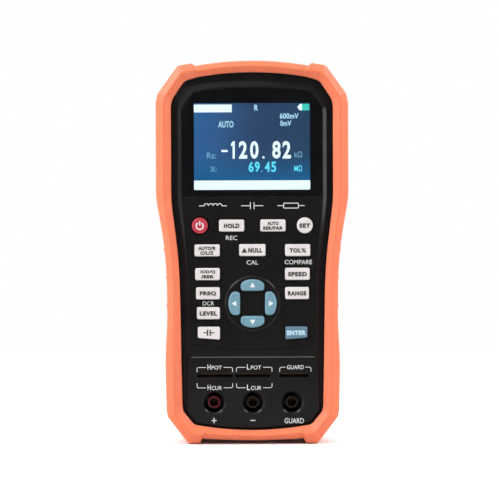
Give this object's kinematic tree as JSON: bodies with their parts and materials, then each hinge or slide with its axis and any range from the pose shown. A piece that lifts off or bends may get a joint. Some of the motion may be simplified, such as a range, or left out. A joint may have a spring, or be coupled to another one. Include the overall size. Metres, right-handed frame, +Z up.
{
  "type": "handheld lcr meter",
  "caption": "Handheld meter for inductance, capacitance and resistance, with a colour display, rubber keys, test slots, 4 mm sockets and a rubber boot.",
  "frame": {"origin": "middle of the footprint under the lower end, on which the meter stands", "axes": "+Z up the meter's length, the display and keys face -Y, +X to the right seen from the front"},
  "size_m": [0.0946, 0.042, 0.188],
  "materials": {
    "boot_rubber": "satin",
    "case_front": "gloss",
    "case_back": "fine texture",
    "window_acrylic": "gloss",
    "black_foam": "matte",
    "display": "gloss",
    "tinned_steel": "satin",
    "polyimide": "gloss",
    "keypad_rubber": "matte",
    "circuit_board": "gloss",
    "chip_black": "matte",
    "relay_white": "matte",
    "zinc_steel": "satin",
    "terminal_plastic": "satin",
    "terminal_red": "satin",
    "contact_brass": "satin",
    "battery_wrap": "satin",
    "label_film": "satin",
    "key_grey": "satin",
    "key_red": "satin",
    "key_blue": "satin"
  },
  "bodies": {
    "meter": {"boot": "boot_rubber", "front_case": "case_front", "rear_case": "case_back", "window": "window_acrylic", "display_gasket": "black_foam", "display_panel": "display", "display_tray": "tinned_steel", "display_ribbon": "polyimide", "keypad_mat": "keypad_rubber", "main_board": "circuit_board", "processor": "chip_black", "measuring_chips": "chip_black", "shield_can": "tinned_steel", "range_relays": "relay_white", "buzzer": "chip_black", "board_screws": "zinc_steel", "test_slot_block": "terminal_plastic", "test_slot_contacts": "contact_brass", "socket_insulator_red": "terminal_red", "socket_insulator_black": "terminal_plastic", "socket_insulator_guard": "terminal_plastic", "socket_sleeves": "contact_brass", "usb_port": "tinned_steel", "battery_pack": "battery_wrap", "battery_contacts": "contact_brass", "battery_cover": "case_back", "battery_cover_screw": "zinc_steel", "case_screws": "zinc_steel", "rating_label": "label_film"},
    "key_power_cap": {"key_power": "key_red"},
    "key_hold_cap": {"key_hold": "key_grey"},
    "key_mode_cap": {"key_mode": "key_grey"},
    "key_set_cap": {"key_set": "key_grey"},
    "key_function_cap": {"key_function": "key_grey"},
    "key_null_cap": {"key_null": "key_grey"},
    "key_tolerance_cap": {"key_tolerance": "key_grey"},
    "key_parameter_cap": {"key_parameter": "key_grey"},
    "key_speed_cap": {"key_speed": "key_grey"},
    "key_frequency_cap": {"key_frequency": "key_grey"},
    "key_range_cap": {"key_range": "key_grey"},
    "key_level_cap": {"key_level": "key_grey"},
    "key_fixture_cap": {"key_fixture": "key_grey"},
    "key_enter_cap": {"key_enter": "key_blue"},
    "key_up_cap": {"key_up": "key_blue"},
    "key_right_cap": {"key_right": "key_blue"},
    "key_down_cap": {"key_down": "key_blue"},
    "key_left_cap": {"key_left": "key_blue"},
    "stand": {"tilt_stand": "case_back", "stand_pads": "black_foam"}
  },
  "joints": [
    {"name": "key_power_press", "type": "slide", "parent": "meter", "child": "key_power_cap", "axis": [0, 1, 0], "range_m": [0, 0.0009], "stiffness_N_per_m": 1500},
    {"name": "key_hold_press", "type": "slide", "parent": "meter", "child": "key_hold_cap", "axis": [0, 1, 0], "range_m": [0, 0.0009], "stiffness_N_per_m": 1500},
    {"name": "key_mode_press", "type": "slide", "parent": "meter", "child": "key_mode_cap", "axis": [0, 1, 0], "range_m": [0, 0.0009], "stiffness_N_per_m": 1500},
    {"name": "key_set_press", "type": "slide", "parent": "meter", "child": "key_set_cap", "axis": [0, 1, 0], "range_m": [0, 0.0009], "stiffness_N_per_m": 1500},
    {"name": "key_function_press", "type": "slide", "parent": "meter", "child": "key_function_cap", "axis": [0, 1, 0], "range_m": [0, 0.0009], "stiffness_N_per_m": 1500},
    {"name": "key_null_press", "type": "slide", "parent": "meter", "child": "key_null_cap", "axis": [0, 1, 0], "range_m": [0, 0.0009], "stiffness_N_per_m": 1500},
    {"name": "key_tolerance_press", "type": "slide", "parent": "meter", "child": "key_tolerance_cap", "axis": [0, 1, 0], "range_m": [0, 0.0009], "stiffness_N_per_m": 1500},
    {"name": "key_parameter_press", "type": "slide", "parent": "meter", "child": "key_parameter_cap", "axis": [0, 1, 0], "range_m": [0, 0.0009], "stiffness_N_per_m": 1500},
    {"name": "key_speed_press", "type": "slide", "parent": "meter", "child": "key_speed_cap", "axis": [0, 1, 0], "range_m": [0, 0.0009], "stiffness_N_per_m": 1500},
    {"name": "key_frequency_press", "type": "slide", "parent": "meter", "child": "key_frequency_cap", "axis": [0, 1, 0], "range_m": [0, 0.0009], "stiffness_N_per_m": 1500},
    {"name": "key_range_press", "type": "slide", "parent": "meter", "child": "key_range_cap", "axis": [0, 1, 0], "range_m": [0, 0.0009], "stiffness_N_per_m": 1500},
    {"name": "key_level_press", "type": "slide", "parent": "meter", "child": "key_level_cap", "axis": [0, 1, 0], "range_m": [0, 0.0009], "stiffness_N_per_m": 1500},
    {"name": "key_fixture_press", "type": "slide", "parent": "meter", "child": "key_fixture_cap", "axis": [0, 1, 0], "range_m": [0, 0.0009], "stiffness_N_per_m": 1500},
    {"name": "key_enter_press", "type": "slide", "parent": "meter", "child": "key_enter_cap", "axis": [0, 1, 0], "range_m": [0, 0.0009], "stiffness_N_per_m": 1500},
    {"name": "key_up_press", "type": "slide", "parent": "meter", "child": "key_up_cap", "axis": [0, 1, 0], "range_m": [0, 0.0009], "stiffness_N_per_m": 1500},
    {"name": "key_right_press", "type": "slide", "parent": "meter", "child": "key_right_cap", "axis": [0, 1, 0], "range_m": [0, 0.0009], "stiffness_N_per_m": 1500},
    {"name": "key_down_press", "type": "slide", "parent": "meter", "child": "key_down_cap", "axis": [0, 1, 0], "range_m": [0, 0.0009], "stiffness_N_per_m": 1500},
    {"name": "key_left_press", "type": "slide", "parent": "meter", "child": "key_left_cap", "axis": [0, 1, 0], "range_m": [0, 0.0009], "stiffness_N_per_m": 1500},
    {"name": "tilt_stand_swing", "type": "hinge", "parent": "meter", "child": "stand", "pos_m": [0, 0.0175, 0.1195], "axis": [1, 0, 0], "range_deg": [0, 65]}
  ]
}
